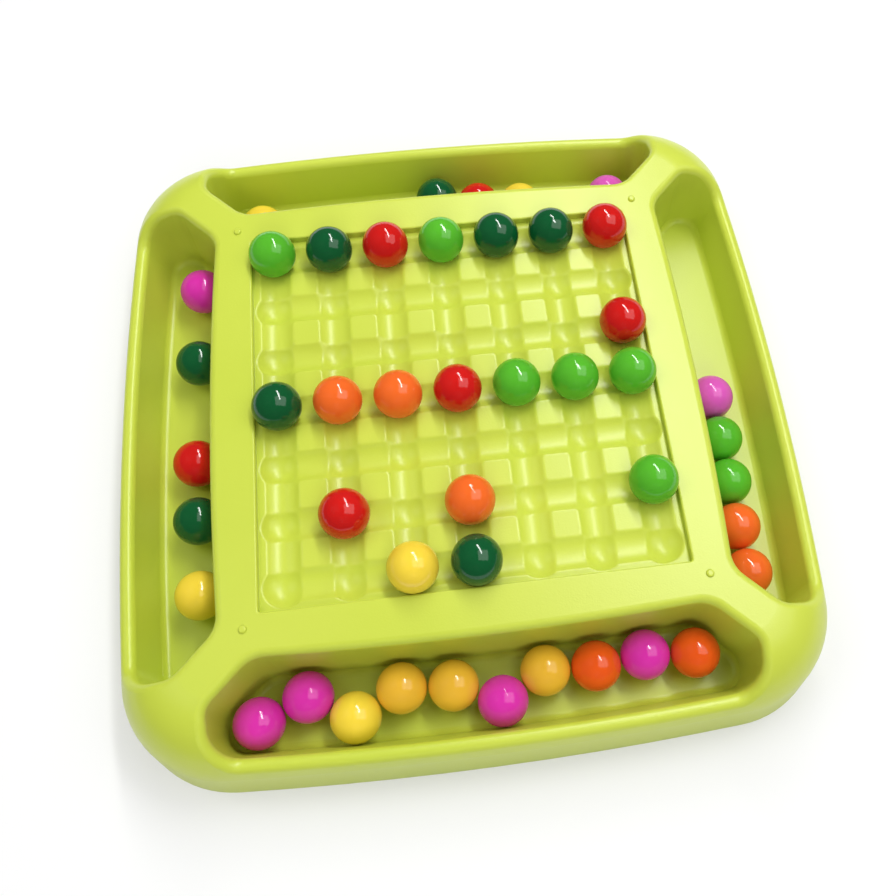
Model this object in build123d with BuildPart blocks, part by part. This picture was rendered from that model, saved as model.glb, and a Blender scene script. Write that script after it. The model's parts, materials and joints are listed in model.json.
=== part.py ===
"""Ball sorting puzzle game: a moulded tray, a socketed grid plate and 45 loose balls.

The origin is the middle of the foot, on the table. X runs right along a row of
sockets, Y runs away from the player and Z is up. All sizes are in millimetres.
"""

from build123d import *
import os
from math import cos, radians, sin, sqrt, tan

# Balls
BALL_RADIUS = 10.0
BALL_GAP = 0.3
FLAT_LATITUDE = 85.0
TIP_STEP = 47
ROLL_STEP = 71

# Grid of sockets
SOCKETS = 7
PITCH = 24.4
BLOCK = 11.4
SOCKET_CENTRE_HEIGHT = 6.0
CHANNEL_DEPTH = 2.4
MARGIN = 9.6
PLATE_WALL = 2.2
FLANGE_REACH = 11.5
FLANGE_CORNER = 3.0

# Tray body
HEIGHT = 44.0
RIM_WIDTH = 14.2
SIDE_RADIUS = 1500.0
CORNER_RADIUS = 44.0
SIDE_DRAFT = 7.3
SHOULDER_RADIUS = 26.0
WALL = 2.2
RECESS = 3.3
RECESS_EDGE = 0.8
WINDOW_CORNER = 1.0

# Troughs
TROUGH_FLOOR = 5.4
TROUGH_WIDTH = 28.5
PLATEAU_WIDTH = 19.2
ARM_HALF = 9.4
INNER_DRAFT = 1.4
OUTER_DRAFT = 11.5
END_DRAFT = 1.4
INNER_CORNER = 12.0
ARM_CORNER = 8.0
OUTER_CORNER = 7.5
OUTER_CORNER_GROWTH = 0.14
FLOOR_FILLET = 3.0
MOUTH_FILLET = 3.0
MOUTH_RISE = 2.6

# Posts that hold the plate, and the small domes above them
POST_INSET = 5.7
POST_RADIUS = 2.2
POST_LENGTH = 5.0
POST_GAP = 0.3
PIP_RADIUS = 1.65
PIP_HEIGHT = 0.9

# How near counts as touching when edges are picked, and where the seam of a
# channel's round lies: away from the crossings, where the seams would coincide
TOUCH = 0.01
SEAM_TURN = 130

# Values that follow from the sizes above
BLOCK_TOP = HEIGHT - RECESS
FIELD_HALF = (SOCKETS - 1) / 2 * PITCH
WINDOW_HALF = FIELD_HALF + MARGIN
FLANGE_HALF = WINDOW_HALF + FLANGE_REACH
POST_PLACE = WINDOW_HALF + POST_INSET
TROUGH_INNER = round(WINDOW_HALF + PLATEAU_WIDTH, 6)
TROUGH_END = TROUGH_INNER
TROUGH_OUTER = TROUGH_INNER + TROUGH_WIDTH
BASE_HALF = TROUGH_OUTER + RIM_WIDTH
CHANNEL_HALF = (PITCH - BLOCK) / 2
CHANNEL_RADIUS = (CHANNEL_HALF**2 + CHANNEL_DEPTH**2) / (2 * CHANNEL_DEPTH)
SOCKET_RADIUS = BALL_RADIUS + BALL_GAP
SOCKET_Z = BLOCK_TOP + SOCKET_CENTRE_HEIGHT
CHANNEL_Z = BLOCK_TOP - CHANNEL_DEPTH + CHANNEL_RADIUS
TROUGH_BALL_Z = TROUGH_FLOOR + BALL_RADIUS + BALL_GAP

# Balls on the board: row 1 is the far row, column 1 the left one
BOARD_BALLS = {
    1: {1: "lime", 2: "green", 3: "red", 4: "lime", 5: "green", 6: "green", 7: "red"},
    3: {7: "red"},
    4: {1: "green", 2: "orange", 3: "orange", 4: "red", 5: "lime", 6: "lime", 7: "lime"},
    6: {2: "red", 4: "orange", 7: "lime"},
    7: {3: "yellow", 4: "green"},
}

# Balls in the troughs: turn of the trough, then runs of balls that touch. A run starts
# at a distance along the trough, and each ball has a colour and its room to the inner wall.
TROUGH_TURNS = {"right": 0, "far": 90, "left": 180, "front": 270}
TROUGH_RUNS = {
    "right": [
        (
            -83.2,
            [("orange", 1.9), ("orange", 0.5), ("lime", 0.5), ("lime", 0.5), ("pink", 0.5)],
        ),
    ],
    "far": [
        (-84.3, [("pink", 2.6)]),
        (-40.9, [("yellow", 0.3), ("red", 2.0), ("green", 6.5)]),
        (82.5, [("yellow", 1.0)]),
    ],
    "left": [
        (-77.7, [("magenta", 0.5)]),
        (-40.3, [("green", 0.5)]),
        (8.1, [("red", 0.5)]),
        (34.0, [("green", 0.5)]),
        (65.8, [("yellow", 0.5)]),
    ],
    "front": [
        (
            -89.0,
            [
                ("magenta", 9.0),
                ("magenta", 0.5),
                ("yellow", 9.7),
                ("amber", 0.3),
                ("amber", 1.5),
                ("magenta", 9.7),
                ("amber", 0.3),
                ("vermilion", 1.5),
                ("magenta", 0.3),
                ("vermilion", 3.0),
            ],
        ),
    ],
}


def bow(along):
    """How far a bowed side has drawn back at a distance along it."""
    return SIDE_RADIUS - sqrt(SIDE_RADIUS**2 - along**2)


def spot(turn, out, along):
    """A point in a trough's own directions: out from the middle, and along it."""
    angle = radians(turn)
    return (out * cos(angle) - along * sin(angle), out * sin(angle) + along * cos(angle))


def bowed_corner(half):
    """The corner of a square whose sides bow out to half at their middles."""
    back = SIDE_RADIUS - half
    return (sqrt(2 * SIDE_RADIUS**2 - back**2) - back) / 2


def bowed_square(half, corner_radius):
    """The face of a square with bowed sides and round corners, on the table plane."""
    corner = bowed_corner(half)
    with BuildSketch() as outline:
        with BuildLine():
            for turn in (0, 90, 180, 270):
                ends = [spot(turn, corner, -corner), spot(turn, corner, corner)]
                ThreePointArc(ends[0], spot(turn, half, 0), ends[1])
        make_face()
        fillet(outline.vertices(), corner_radius)
    return outline.sketch


def pillow(inset):
    """The tray's outer form, or with an inset the hollow inside its wall."""
    with BuildPart() as form:
        add(bowed_square(BASE_HALF - inset / cos(radians(SIDE_DRAFT)), CORNER_RADIUS - inset))
        extrude(amount=HEIGHT - inset, taper=SIDE_DRAFT)
        top = form.faces().sort_by(Axis.Z)[-1]
        fillet(top.edges(), SHOULDER_RADIUS - inset)
    return form.part


def trough_face(height, grow):
    """A trough's outline at a height, grown by a wall's thickness."""
    rise = height - TROUGH_FLOOR
    inner = TROUGH_INNER - rise * tan(radians(INNER_DRAFT)) - grow
    outer = TROUGH_OUTER + rise * tan(radians(OUTER_DRAFT)) + grow
    end = TROUGH_END + rise * tan(radians(END_DRAFT)) + grow
    arm = (ARM_HALF - rise * tan(radians(END_DRAFT)) - grow) * sqrt(2)
    inner_end = inner - arm - bow(inner - arm)
    inner_corner = inner - bow(inner_end)
    with BuildSketch(Plane.XY.offset(height)) as outline:
        with BuildLine():
            ThreePointArc((inner_corner, -inner_end), (inner, 0), (inner_corner, inner_end))
            Line((inner_corner, inner_end), (end + arm, end))
            Line((end + arm, end), (outer - bow(end), end))
            ThreePointArc((outer - bow(end), end), (outer, 0), (outer - bow(end), -end))
            Line((outer - bow(end), -end), (end + arm, -end))
            Line((end + arm, -end), (inner_corner, -inner_end))
        make_face()
        for side in (-1, 1):
            for corner, radius in (
                ((inner_corner, side * inner_end), INNER_CORNER + grow),
                ((end + arm, side * end), ARM_CORNER + grow),
                ((outer - bow(end), side * end), OUTER_CORNER + rise * OUTER_CORNER_GROWTH + grow),
            ):
                fillet(outline.vertices().sort_by_distance(corner)[0], radius)
    return outline.sketch


def trough_pocket(grow):
    """The space inside the right-hand trough, or with a wall's growth its outside."""
    floor = TROUGH_FLOOR - grow
    mouth = HEIGHT + MOUTH_RISE
    with BuildPart() as pocket:
        add(trough_face(floor, grow))
        add(trough_face(mouth, grow))
        loft(ruled=True)
        bottom = pocket.faces().sort_by(Axis.Z)[0]
        fillet(bottom.edges(), FLOOR_FILLET + grow / 2)
    return pocket.part


def grid_tool(grow):
    """The sockets and the channels between them, grown by a wall's thickness."""
    with BuildPart() as tool:
        with GridLocations(PITCH, PITCH, SOCKETS, SOCKETS):
            with Locations((0, 0, SOCKET_Z)):
                Sphere(SOCKET_RADIUS + grow, rotation=(0, -90, 0))
        for turn in (0, 90):
            with PolarLocations(0, 1, turn):
                with GridLocations(0, PITCH, 1, SOCKETS):
                    with Locations((0, 0, CHANNEL_Z)):
                        Cylinder(CHANNEL_RADIUS + grow, 2 * FIELD_HALF, rotation=(0, 90, SEAM_TURN))
    return tool.part


def trough_places(turn, start, run):
    """The ball centres of one run in a trough, each touching the one before it."""
    reach = 2 * BALL_RADIUS + BALL_GAP
    along = start
    last_out = None
    places = []
    for colour, room in run:
        out = TROUGH_INNER + BALL_RADIUS + BALL_GAP + room - bow(along)
        if last_out is not None:
            last_along = along
            for settle in range(3):
                along = last_along + sqrt(reach**2 - (out - last_out) ** 2)
                out = TROUGH_INNER + BALL_RADIUS + BALL_GAP + room - bow(along)
        last_out = out
        places.append((*spot(turn, out, along), TROUGH_BALL_Z))
    return places


def make_ball(label, place, count):
    """One ball with a small flat at each pole of its mould, turned as it happened to roll."""
    with BuildPart() as ball:
        with Locations(Location(place, (count * TIP_STEP % 180, count * ROLL_STEP % 360, 0))):
            Sphere(BALL_RADIUS, arc_size1=-FLAT_LATITUDE, arc_size2=FLAT_LATITUDE)
    ball.part.label = label
    export_step(ball.part, f"parts/{label}.step")


os.makedirs("parts", exist_ok=True)
outer_form = pillow(0)
hollow_form = pillow(WALL)
pocket_form = trough_pocket(0)
pocket_outside = trough_pocket(WALL)

# The tray's outside: the pillow with four troughs and rounded trough mouths
with BuildPart() as tray_form:
    add(outer_form)
    with PolarLocations(0, 4):
        add(pocket_form, mode=Mode.SUBTRACT)
    pocket_skins = [pocket_form.rotate(Axis.Z, turn).shell() for turn in (0, 90, 180, 270)]
    mouth_edges = []
    for edge in tray_form.edges():
        if edge.bounding_box().min.Z > HEIGHT / 2:
            if min(skin.distance_to(edge @ 0.5) for skin in pocket_skins) < TOUCH:
                mouth_edges.append(edge)
    fillet(mouth_edges, MOUTH_FILLET)

# The hollow under the tray: inside the wall, outside the troughs, the lip and the posts
with BuildPart() as underside:
    add(hollow_form)
    with PolarLocations(0, 4):
        add(pocket_outside, mode=Mode.SUBTRACT)
    with BuildSketch(Plane.XY.offset(BLOCK_TOP)):
        RectangleRounded(2 * (WINDOW_HALF + WALL), 2 * (WINDOW_HALF + WALL), WINDOW_CORNER + WALL)
    extrude(amount=RECESS, mode=Mode.SUBTRACT)
    with BuildSketch(Plane.XY.offset(HEIGHT)):
        with GridLocations(2 * POST_PLACE, 2 * POST_PLACE, 2, 2):
            Circle(POST_RADIUS)
    extrude(amount=-(RECESS + POST_LENGTH), mode=Mode.SUBTRACT)

# The tray: one moulded shell with a window, its lip, four posts and the domes above them
with BuildPart() as tray_shell:
    add(tray_form.part)
    add(underside.part, mode=Mode.SUBTRACT)
    with BuildSketch(Plane.XY.offset(HEIGHT)):
        RectangleRounded(2 * WINDOW_HALF, 2 * WINDOW_HALF, WINDOW_CORNER)
    extrude(amount=-HEIGHT / 2, mode=Mode.SUBTRACT)
    top_edges = tray_shell.edges().filter_by_position(Axis.Z, HEIGHT - TOUCH, HEIGHT + TOUCH)
    window_edges = [
        edge
        for edge in top_edges
        if max(abs((edge @ 0.5).X), abs((edge @ 0.5).Y)) < WINDOW_HALF + TOUCH
    ]
    fillet(window_edges, RECESS_EDGE)
    with BuildSketch(Plane.XY.offset(HEIGHT)):
        with GridLocations(2 * POST_PLACE, 2 * POST_PLACE, 2, 2):
            Circle(PIP_RADIUS)
    extrude(amount=PIP_HEIGHT)
    pip_faces = tray_shell.faces().filter_by_position(
        Axis.Z, HEIGHT + PIP_HEIGHT - TOUCH, HEIGHT + PIP_HEIGHT + TOUCH
    )
    fillet(pip_faces.edges(), PIP_HEIGHT - TOUCH)
tray_shell.part.label = "tray_shell"
export_step(tray_shell.part, "parts/tray_shell.step")

# The grid plate: a thin plate under the lip, dished into sockets joined by channels
with BuildPart() as grid_plate:
    with BuildSketch(Plane.XY.offset(BLOCK_TOP)):
        RectangleRounded(2 * FLANGE_HALF, 2 * FLANGE_HALF, FLANGE_CORNER)
    extrude(amount=-PLATE_WALL)
    add(grid_tool(PLATE_WALL))
    with BuildSketch(Plane.XY.offset(BLOCK_TOP)):
        Rectangle(2 * BASE_HALF, 2 * BASE_HALF)
    extrude(amount=HEIGHT, mode=Mode.SUBTRACT)
    add(grid_tool(0), mode=Mode.SUBTRACT)
    with BuildSketch(Plane.XY.offset(BLOCK_TOP)):
        with GridLocations(2 * POST_PLACE, 2 * POST_PLACE, 2, 2):
            Circle(POST_RADIUS + POST_GAP)
    extrude(amount=-PLATE_WALL, mode=Mode.SUBTRACT)
grid_plate.part.label = "grid_plate"
export_step(grid_plate.part, "parts/grid_plate.step")

# The balls on the board, each in its socket
ball_count = 0
for row, row_balls in BOARD_BALLS.items():
    for column, colour in row_balls.items():
        ball_count += 1
        middle = (SOCKETS + 1) / 2
        place = ((column - middle) * PITCH, (middle - row) * PITCH, SOCKET_Z)
        make_ball(f"ball_board_r{row}c{column}", place, ball_count)

# The balls in the troughs
for trough, runs in TROUGH_RUNS.items():
    number = 0
    for start, run in runs:
        for place in trough_places(TROUGH_TURNS[trough], start, run):
            ball_count += 1
            number += 1
            make_ball(f"ball_{trough}_{number}", place, ball_count)
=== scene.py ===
"""Ball sorting puzzle game: a lime tray with a socketed playing grid and 45 loose balls.

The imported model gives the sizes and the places. This script keeps the tray's moulded
shell, models the grid plate and the balls afresh with softened edges and mould marks,
and gives every piece its plastic finish.
"""

import json
import logging
from dataclasses import dataclass, field
from enum import Enum
from math import cos, radians

import bpy
import numpy as np
from mathutils import Matrix, Vector


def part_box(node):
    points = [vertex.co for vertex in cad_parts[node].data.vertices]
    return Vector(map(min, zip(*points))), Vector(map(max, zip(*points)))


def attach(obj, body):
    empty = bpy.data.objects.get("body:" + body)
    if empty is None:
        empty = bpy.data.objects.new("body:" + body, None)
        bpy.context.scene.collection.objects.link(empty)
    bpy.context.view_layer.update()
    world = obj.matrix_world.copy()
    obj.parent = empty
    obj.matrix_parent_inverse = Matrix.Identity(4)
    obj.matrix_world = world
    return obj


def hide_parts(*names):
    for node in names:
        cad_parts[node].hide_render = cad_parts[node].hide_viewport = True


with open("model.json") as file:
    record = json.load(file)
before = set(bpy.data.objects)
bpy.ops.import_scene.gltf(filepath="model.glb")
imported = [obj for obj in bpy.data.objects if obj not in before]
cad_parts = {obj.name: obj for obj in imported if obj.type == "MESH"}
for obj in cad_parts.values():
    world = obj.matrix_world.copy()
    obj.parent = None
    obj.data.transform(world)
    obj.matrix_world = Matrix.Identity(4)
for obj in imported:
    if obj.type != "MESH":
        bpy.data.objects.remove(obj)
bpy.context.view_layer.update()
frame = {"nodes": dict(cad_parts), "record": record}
log = logging.getLogger("puzzle")

MM = 0.001
IMAGE_SIDE = 896
SENSOR_WIDTH = 36.0
WHITE = (1.0, 1.0, 1.0)


class BallColour(Enum):
    """The balls' plastics: the record's slot and the linear colour of each."""

    LIME = ("ball_lime", (0.098, 0.480, 0.026))
    GREEN = ("ball_green", (0.004, 0.096, 0.026))
    RED = ("ball_red", (0.640, 0.010, 0.008))
    ORANGE = ("ball_orange", (0.940, 0.155, 0.021))
    VERMILION = ("ball_vermilion", (0.860, 0.100, 0.010))
    YELLOW = ("ball_yellow", (0.950, 0.690, 0.055))
    AMBER = ("ball_amber", (0.900, 0.500, 0.040))
    MAGENTA = ("ball_magenta", (0.740, 0.034, 0.430))
    PINK = ("ball_pink", (0.740, 0.110, 0.520))

    @property
    def slot(self) -> str:
        """The record's material slot."""
        return self.value[0]

    @property
    def colour(self) -> tuple[float, float, float]:
        """The plastic's linear colour."""
        return self.value[1]


class Value:
    """A number socket that can be used in sums."""

    def __init__(self, graph: "Graph", socket: bpy.types.NodeSocket) -> None:
        """Wraps an output socket of a graph.

        Args:
            graph: The graph that the socket belongs to.
            socket: The output socket.
        """
        self.graph = graph
        self.socket = socket

    def _sum(self, operation: str, first: object, second: object) -> "Value":
        """Adds one Math node."""
        made = self.graph.node("ShaderNodeMath", {"operation": operation}, {0: first, 1: second})
        return Value(self.graph, made.outputs[0])

    def __add__(self, other: object) -> "Value":
        """This plus the other."""
        return self._sum("ADD", self, other)

    def __radd__(self, other: object) -> "Value":
        """The other plus this."""
        return self._sum("ADD", other, self)

    def __sub__(self, other: object) -> "Value":
        """This less the other."""
        return self._sum("SUBTRACT", self, other)

    def __mul__(self, other: object) -> "Value":
        """This times the other."""
        return self._sum("MULTIPLY", self, other)


class Graph:
    """A material or world that is built node by node."""

    def __init__(self, owner: bpy.types.ID) -> None:
        """Clears the owner's nodes.

        Args:
            owner: A material or a world.
        """
        owner.use_nodes = True
        self.tree = owner.node_tree
        self.tree.nodes.clear()

    def node(self, kind: str, settings: dict, inputs: dict) -> bpy.types.Node:
        """Adds one node of any kind.

        Args:
            kind: The node's type name.
            settings: Attributes of the node, set first.
            inputs: Values, sockets or wrapped sockets, by input name or number.

        Returns:
            The node.
        """
        made = self.tree.nodes.new(kind)
        for name, value in settings.items():
            setattr(made, name, value)
        for name, value in inputs.items():
            if isinstance(value, Value):
                value = value.socket
            if isinstance(value, bpy.types.NodeSocket):
                self.tree.links.new(value, made.inputs[name])
            elif isinstance(value, tuple) and made.inputs[name].type == "RGBA":
                made.inputs[name].default_value = (*value, 1.0)
            else:
                made.inputs[name].default_value = value
        return made

    def value(self, kind: str, settings: dict, inputs: dict, output: object = 0) -> Value:
        """Adds one node and wraps one of its outputs.

        Args:
            kind: The node's type name.
            settings: Attributes of the node.
            inputs: Values or sockets of its inputs.
            output: The output's name or number.

        Returns:
            The wrapped output.
        """
        return Value(self, self.node(kind, settings, inputs).outputs[output])

    def mix(self, factor: object, first: object, second: object) -> bpy.types.NodeSocket:
        """Mixes two colours.

        Args:
            factor: How much of the second.
            first: A colour or a colour socket.
            second: A colour or a colour socket.

        Returns:
            The mixed colour's socket.
        """
        made = self.node("ShaderNodeMix", {"data_type": "RGBA"}, {0: factor, 6: first, 7: second})
        return made.outputs[2]


@dataclass(frozen=True)
class Plastic:
    """A moulded plastic: its colour, its gloss, its flow marks and its fine grain."""

    name: str
    colour: tuple[float, float, float]
    deep_colour: tuple[float, float, float]
    roughness: float
    roughness_spread: float
    grain_scale: float
    grain_depth: float
    flow_scale: float
    flow_floor: float = 0.35
    flow_gain: float = 1.6
    grain_gloss: float = 0.05
    index: float = 1.49

    def material(self) -> bpy.types.Material:
        """Builds the node material.

        Returns:
            The material.
        """
        made = bpy.data.materials.new(self.name)
        graph = Graph(made)
        place = graph.node("ShaderNodeTexCoord", {}, {}).outputs["Object"]
        flow = graph.value(
            "ShaderNodeTexNoise", {}, {"Vector": place, "Scale": self.flow_scale, "Detail": 3.0}
        )
        speck = graph.value(
            "ShaderNodeTexNoise",
            {},
            {"Vector": place, "Scale": self.grain_scale, "Detail": 2.0, "Roughness": 0.6},
        )
        flow_share = (flow - self.flow_floor) * self.flow_gain
        colour = graph.mix(flow_share, self.deep_colour, self.colour)
        roughness = self.roughness + (flow - 0.5) * self.roughness_spread
        roughness = roughness + (speck - 0.5) * self.grain_gloss
        bump = graph.node(
            "ShaderNodeBump", {}, {"Strength": 1.0, "Distance": self.grain_depth, "Height": speck}
        )
        skin = graph.node(
            "ShaderNodeBsdfPrincipled",
            {},
            {
                "Base Color": colour,
                "Roughness": roughness,
                "Normal": bump.outputs[0],
                "IOR": self.index,
            },
        )
        graph.node("ShaderNodeOutputMaterial", {}, {"Surface": skin.outputs[0]})
        return made


TRAY_PLASTIC = Plastic(
    name="lime_tray_plastic",
    colour=(0.595, 0.670, 0.080),
    deep_colour=(0.525, 0.618, 0.058),
    roughness=0.31,
    roughness_spread=0.10,
    grain_scale=1400.0,
    grain_depth=0.00004,
    flow_scale=9.0,
)


def ball_plastic(colour: BallColour) -> Plastic:
    """The glossy plastic of one ball colour.

    Args:
        colour: Which ball.

    Returns:
        Its finish.
    """
    return Plastic(
        name=f"{colour.slot}_plastic",
        colour=colour.colour,
        deep_colour=tuple(0.86 * part for part in colour.colour),
        roughness=0.09,
        roughness_spread=0.05,
        grain_scale=900.0,
        grain_depth=0.00001,
        flow_scale=60.0,
    )


def deselect() -> None:
    """Leaves edit mode and deselects every object."""
    if bpy.context.object and bpy.context.object.mode != "OBJECT":
        bpy.ops.object.mode_set(mode="OBJECT")
    bpy.ops.object.select_all(action="DESELECT")


def dress(piece: bpy.types.Object, material: bpy.types.Material) -> None:
    """Gives a piece one material."""
    piece.data.materials.clear()
    piece.data.materials.append(material)


def body_of_node(node: str) -> str:
    """The name of the body that carries a node.

    Args:
        node: The node's name.

    Returns:
        The body's name.
    """
    for body, nodes in frame["record"]["behaviour"]["bodies"].items():
        if node in nodes:
            return body
    raise KeyError(node)


@dataclass
class Tray:
    """The moulded shell: its window, four troughs, domed corners and posts."""

    node: str = "tray_shell"

    def build(self, material: bpy.types.Material) -> bpy.types.Object:
        """Dresses the shell.

        Args:
            material: The tray's plastic.

        Returns:
            The shell.
        """
        shell = frame["nodes"][self.node]
        for number in range(len(shell.data.materials)):
            shell.data.materials[number] = material
        log.info("tray shell: %d faces", len(shell.data.polygons))
        return shell


@dataclass
class GridPlate:
    """The plate of sockets and channels, with softened edges. Sizes are in millimetres."""

    node: str = "grid_plate"
    sockets: int = 7
    pitch: float = 24.4
    top: float = 40.7
    socket_radius: float = 10.3
    socket_height: float = 6.0
    channel_radius: float = 10.0
    channel_depth: float = 2.4
    wall: float = 2.2
    edge_round: float = 0.22
    rim_round: float = 0.35
    hip_round: float = 1.7
    half: float = 94.3
    fine_reach: float = 8.6
    fine_steps: int = 30
    block_steps: int = 4
    margin: tuple[float, ...] = (1.2, 3.4, 7.8)

    def lines(self, every: int = 1) -> np.ndarray:
        """The grid lines of the mesh along one side: close over sockets, wide over blocks.

        Args:
            every: How many fine steps a line takes, for the coarse underside.

        Returns:
            The positions, in millimetres.
        """
        places = []
        for column in range(self.sockets):
            centre = (column - (self.sockets - 1) / 2) * self.pitch
            steps = self.fine_steps // every
            places += list(centre + np.linspace(-self.fine_reach, self.fine_reach, steps + 1))
            if column < self.sockets - 1:
                gap = self.pitch - 2 * self.fine_reach
                steps = max(self.block_steps // every, 2)
                places += [centre + self.fine_reach + gap * k / steps for k in range(1, steps)]
        edge = (self.sockets - 1) / 2 * self.pitch + self.fine_reach
        for step in self.margin:
            places += [edge + step, -edge - step]
        places += [self.half, -self.half]
        return np.array(sorted(places))

    @staticmethod
    def soft_min(first: np.ndarray, second: np.ndarray, round_size: float) -> np.ndarray:
        """The lower of two surfaces, rounded where they cross."""
        near = np.maximum(round_size - np.abs(first - second), 0.0) / round_size
        return np.minimum(first, second) - near**2 * round_size / 4

    def heights(self, across: np.ndarray, away: np.ndarray, grow: float) -> np.ndarray:
        """The plate's surface over the table.

        Args:
            across: Places along X.
            away: Places along Y.
            grow: The wall's thickness for the underside, or 0 for the top.

        Returns:
            One height for each pair of places, rows along Y.
        """
        centres = (np.arange(self.sockets) - (self.sockets - 1) / 2) * self.pitch
        off_x = np.abs(across[:, None] - centres).min(axis=1)[None, :]
        off_y = np.abs(away[:, None] - centres).min(axis=1)[:, None]
        in_x = (np.abs(across) <= centres[-1])[None, :]
        in_y = (np.abs(away) <= centres[-1])[:, None]
        flat = np.full((len(away), len(across)), self.top - grow)
        channel_z = self.top - self.channel_depth + self.channel_radius
        reach = self.channel_radius + grow
        along_x = channel_z - np.sqrt(np.maximum(reach**2 - off_y**2, 0.0))
        along_y = channel_z - np.sqrt(np.maximum(reach**2 - off_x**2, 0.0))
        along_x = np.where(in_x, along_x, self.top + self.channel_radius)
        along_y = np.where(in_y, along_y, self.top + self.channel_radius)
        socket_z = self.top + self.socket_height
        reach = self.socket_radius + grow
        dish = socket_z - np.sqrt(np.maximum(reach**2 - off_x**2 - off_y**2, 0.0))
        channels = self.soft_min(along_x, along_y, self.hip_round)
        surface = self.soft_min(flat, channels, self.edge_round)
        return self.soft_min(surface, dish, self.rim_round)

    def build(self, material: bpy.types.Material) -> bpy.types.Object:
        """Models the plate and rides it on the tray.

        Args:
            material: The tray's plastic.

        Returns:
            The plate.
        """
        top_lines = self.lines()
        low_lines = self.lines(every=3)
        sheets = ((top_lines, 0.0), (low_lines, self.wall))
        points: list[np.ndarray] = []
        faces: list[tuple[int, ...]] = []
        grids = []
        for lines, grow in sheets:
            start = sum(len(part) for part in points)
            xs, ys = np.meshgrid(lines, lines)
            zs = self.heights(lines, lines, grow)
            points.append(np.column_stack([xs.ravel(), ys.ravel(), zs.ravel()]))
            numbers = start + np.arange(len(lines) ** 2).reshape(len(lines), len(lines))
            grids.append(numbers)
            corners = [numbers[:-1, :-1], numbers[:-1, 1:], numbers[1:, 1:], numbers[1:, :-1]]
            if grow:
                corners.reverse()
            faces += list(zip(*(corner.ravel().tolist() for corner in corners)))
        faces += self.edge_faces(grids, top_lines, low_lines)
        mesh = bpy.data.meshes.new("grid_plate_moulded")
        mesh.from_pydata((np.vstack(points) * MM).tolist(), [], faces)
        mesh.update()
        plate = bpy.data.objects.new("grid_plate_moulded", mesh)
        bpy.context.scene.collection.objects.link(plate)
        deselect()
        bpy.context.view_layer.objects.active = plate
        plate.select_set(True)
        bpy.ops.object.shade_smooth_by_angle(angle=radians(50))
        dress(plate, material)
        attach(plate, body_of_node(self.node))
        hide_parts(self.node)
        log.info("grid plate: %d faces", len(mesh.polygons))
        return plate

    def edge_faces(
        self, grids: list[np.ndarray], top_lines: np.ndarray, low_lines: np.ndarray
    ) -> list[tuple[int, ...]]:
        """The faces that close the plate's edge between its fine top and coarse underside.

        Args:
            grids: Vertex numbers of the top and of the underside, rows along Y.
            top_lines: The top's grid lines.
            low_lines: The underside's grid lines.

        Returns:
            Faces as vertex numbers, facing out.
        """
        top, low = grids
        sides = [
            (top[0], low[0], False),
            (top[-1], low[-1], True),
            (top[:, 0], low[:, 0], True),
            (top[:, -1], low[:, -1], False),
        ]
        faces = []
        for upper, lower, turned in sides:
            for step in range(len(low_lines) - 1):
                first = int(np.argmin(np.abs(top_lines - low_lines[step])))
                last = int(np.argmin(np.abs(top_lines - low_lines[step + 1])))
                face = [int(lower[step]), int(lower[step + 1])]
                face += [int(number) for number in upper[first : last + 1][::-1]]
                faces.append(tuple(face[::-1] if turned else face))
        return faces


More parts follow.
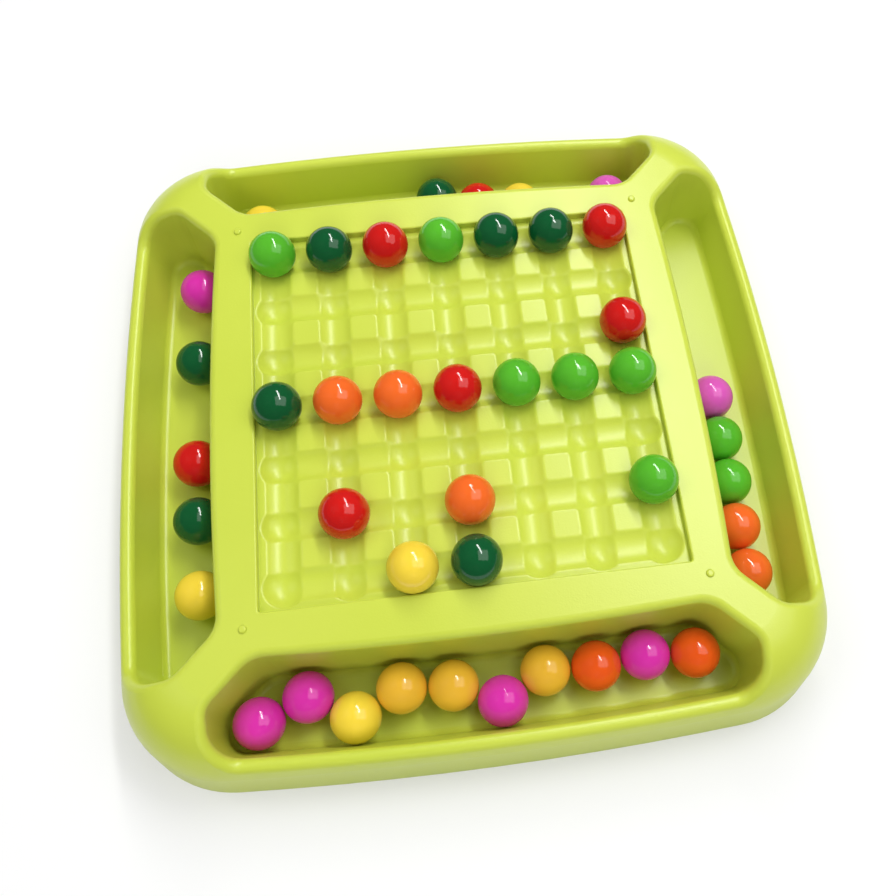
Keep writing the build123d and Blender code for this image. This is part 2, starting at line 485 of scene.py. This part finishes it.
@dataclass
class Balls:
    """The loose balls: one moulded master, copied and tumbled. Sizes are in millimetres."""

    radius: float = 10.0
    segments: int = 48
    rings: int = 32
    flat_latitude: float = 85.0
    seam_width: float = 0.35
    seam_rise: float = 0.035
    level: float = 0.01
    tip_step: int = 47
    roll_step: int = 71
    pieces: list[bpy.types.Object] = field(default_factory=list)

    def master(self) -> bpy.types.Mesh:
        """Models one ball at the origin, with a parting ridge and a flat at each pole.

        Returns:
            Its mesh.
        """
        deselect()
        bpy.ops.mesh.primitive_uv_sphere_add(
            segments=self.segments, ring_count=self.rings, radius=self.radius * MM
        )
        ball = bpy.context.object
        mesh = ball.data
        bpy.ops.object.mode_set(mode="EDIT")
        bpy.ops.mesh.select_mode(type="EDGE")
        bpy.ops.mesh.select_all(action="DESELECT")
        bpy.ops.object.mode_set(mode="OBJECT")
        for edge in mesh.edges:
            ends = [mesh.vertices[number].co.z for number in edge.vertices]
            edge.select = max(abs(end) for end in ends) < self.level * MM
        bpy.ops.object.mode_set(mode="EDIT")
        bpy.ops.mesh.bevel(offset=self.seam_width * MM, segments=2, affect="EDGES")
        bpy.ops.mesh.select_mode(type="VERT")
        bpy.ops.mesh.select_all(action="DESELECT")
        bpy.ops.object.mode_set(mode="OBJECT")
        for vertex in mesh.vertices:
            vertex.select = abs(vertex.co.z) < self.level * MM
        grown = 1 + self.seam_rise / self.radius
        bpy.ops.object.mode_set(mode="EDIT")
        bpy.ops.transform.resize(value=(grown, grown, 1.0))
        bpy.ops.mesh.select_all(action="DESELECT")
        bpy.ops.object.mode_set(mode="OBJECT")
        flat = self.radius * MM * cos(radians(90.0 - self.flat_latitude))
        for vertex in mesh.vertices:
            if abs(vertex.co.z) > flat:
                vertex.co.z = flat if vertex.co.z > 0 else -flat
        bpy.ops.object.shade_smooth()
        kept = mesh.copy()
        bpy.data.objects.remove(ball)
        return kept

    def build(self) -> list[bpy.types.Object]:
        """Puts a dressed ball on every ball node.

        Returns:
            The balls.
        """
        master = self.master()
        materials = {colour.slot: ball_plastic(colour).material() for colour in BallColour}
        slots = {part["node"]: part["material_slot"] for part in frame["record"]["subparts"]}
        names = sorted(name for name in slots if name.startswith("ball_"))
        for count, name in enumerate(names, start=1):
            low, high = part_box(name)
            centre = (Vector(low) + Vector(high)) / 2
            mesh = master.copy()
            tumble = Matrix.Rotation(radians(count * self.tip_step % 180), 4, "X")
            tumble = tumble @ Matrix.Rotation(radians(count * self.roll_step % 360), 4, "Y")
            mesh.transform(Matrix.Translation(centre) @ tumble)
            ball = bpy.data.objects.new(f"moulded_{name}", mesh)
            bpy.context.scene.collection.objects.link(ball)
            dress(ball, materials[slots[name]])
            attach(ball, body_of_node(name))
            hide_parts(name)
            self.pieces.append(ball)
            log.info("%s at %s", ball.name, [round(part, 4) for part in centre])
        return self.pieces


@dataclass(frozen=True)
class Lamp:
    """A soft rectangular lamp that faces the tray. Sizes are in metres, power in watts."""

    name: str
    place: tuple[float, float, float]
    size: tuple[float, float]
    power: float
    along: tuple[float, float, float] = (0.0, 1.0, 0.0)
    mirrored: bool = True

    def build(self) -> None:
        """Adds the lamp, turned so that its length lies along its own direction."""
        data = bpy.data.lights.new(self.name, "AREA")
        data.shape = "RECTANGLE"
        data.size, data.size_y = self.size
        data.energy = self.power
        lamp = bpy.data.objects.new(self.name, data)
        bpy.context.scene.collection.objects.link(lamp)
        back = Vector(self.place).normalized()
        side = Vector(self.along).cross(back).normalized()
        turn = Matrix((side, back.cross(side), back)).transposed().to_4x4()
        lamp.matrix_world = Matrix.Translation(Vector(self.place)) @ turn
        lamp.visible_glossy = self.mirrored


# Glossy surfaces mirror the strip and the right lamp; the other three only fill
LAMPS = (
    Lamp("strip_lamp", (0.315, 0.606, 1.093), (0.10, 1.08), 9.0, (0.35, -0.861, 0.376)),
    Lamp("right_lamp", (0.70, 0.0, 1.33), (1.2, 1.2), 8.3),
    Lamp("back_lamp", (0.0, 1.182, 0.923), (0.8, 0.8), 2.6, (1.0, 0.0, 0.0), False),
    Lamp("left_lamp", (-0.80, 0.17, 1.258), (0.8, 0.8), 6.0, mirrored=False),
    Lamp("front_lamp", (0.0, -1.182, 0.923), (0.8, 0.8), 7.2, (1.0, 0.0, 0.0), False),
)


@dataclass
class Studio:
    """The white table, the lamps and the camera."""

    fill: float = 0.11
    table_side: float = 6.0
    table_colour: tuple[float, float, float] = (0.86, 0.86, 0.86)
    shadow_reach: tuple[float, float] = (0.15, 0.42)
    table_glow: tuple[float, float] = (0.28, 1.0)
    lens_pixels: float = 957.17
    optical_centre: tuple[float, float] = (532.33, 432.24)
    camera_place: tuple[float, float, float] = (-6.6, -175.0, 400.2)
    camera_right: tuple[float, float, float] = (0.9905, -0.1311, 0.0404)
    camera_down: tuple[float, float, float] = (-0.1041, -0.9101, -0.4012)
    camera_ahead: tuple[float, float, float] = (0.0893, 0.3932, -0.9151)

    def camera(self) -> None:
        """Sets the camera where the photograph was taken from."""
        data = bpy.data.cameras.new("photo_camera")
        data.sensor_width = SENSOR_WIDTH
        data.lens = self.lens_pixels * data.sensor_width / IMAGE_SIDE
        middle = IMAGE_SIDE / 2
        data.shift_x = (middle - self.optical_centre[0]) / IMAGE_SIDE
        data.shift_y = (self.optical_centre[1] - middle) / IMAGE_SIDE
        data.clip_start = 0.01
        camera = bpy.data.objects.new("photo_camera", data)
        bpy.context.scene.collection.objects.link(camera)
        right = Vector(self.camera_right)
        down = Vector(self.camera_down)
        ahead = Vector(self.camera_ahead)
        turn = Matrix((right, -down, -ahead)).transposed().to_4x4()
        camera.matrix_world = Matrix.Translation(Vector(self.camera_place) * MM) @ turn
        bpy.context.scene.camera = camera

    def world(self) -> None:
        """Sets an even soft sky that the camera sees as white."""
        world = bpy.data.worlds.new("soft_sky")
        bpy.context.scene.world = world
        graph = Graph(world)
        sky = graph.node("ShaderNodeBackground", {}, {"Color": WHITE, "Strength": self.fill})
        white = graph.node("ShaderNodeBackground", {}, {"Color": WHITE, "Strength": 1.0})
        seen = graph.node("ShaderNodeLightPath", {}, {}).outputs["Is Camera Ray"]
        both = graph.node(
            "ShaderNodeMixShader", {}, {0: seen, 1: sky.outputs[0], 2: white.outputs[0]}
        )
        graph.node("ShaderNodeOutputWorld", {}, {"Surface": both.outputs[0]})

    def table(self) -> None:
        """Lays the table, which takes the tray's shadow nearby and is plain white further off."""
        deselect()
        bpy.ops.mesh.primitive_plane_add(size=self.table_side)
        table = bpy.context.object
        table.name = "white_table"
        made = bpy.data.materials.new("white_table")
        graph = Graph(made)
        cloth = graph.node(
            "ShaderNodeBsdfDiffuse", {}, {"Color": self.table_colour, "Roughness": 0.3}
        )
        glow = graph.node("ShaderNodeEmission", {}, {"Color": WHITE, "Strength": 1.0})
        seen = graph.value("ShaderNodeLightPath", {}, {}, "Is Camera Ray")
        place = graph.node("ShaderNodeTexCoord", {}, {}).outputs["Object"]
        distance = graph.value("ShaderNodeVectorMath", {"operation": "LENGTH"}, {0: place}, "Value")
        white = graph.value(
            "ShaderNodeMapRange",
            {},
            {
                "Value": distance,
                "From Min": self.shadow_reach[0],
                "From Max": self.shadow_reach[1],
                "To Min": self.table_glow[0],
                "To Max": self.table_glow[1],
            },
        )
        both = graph.node(
            "ShaderNodeMixShader", {}, {0: seen * white, 1: cloth.outputs[0], 2: glow.outputs[0]}
        )
        graph.node("ShaderNodeOutputMaterial", {}, {"Surface": both.outputs[0]})
        dress(table, made)

    def build(self) -> None:
        """Sets up the whole studio."""
        bpy.context.scene.view_settings.view_transform = "Standard"
        self.camera()
        self.world()
        self.table()
        for lamp in LAMPS:
            lamp.build()


def main() -> None:
    """Builds the game piece by piece."""
    logging.basicConfig(level=logging.INFO)
    lime = TRAY_PLASTIC.material()
    Tray().build(lime)
    GridPlate().build(lime)
    Balls().build()
    Studio().build()


if __name__ == "__main__":
    main()
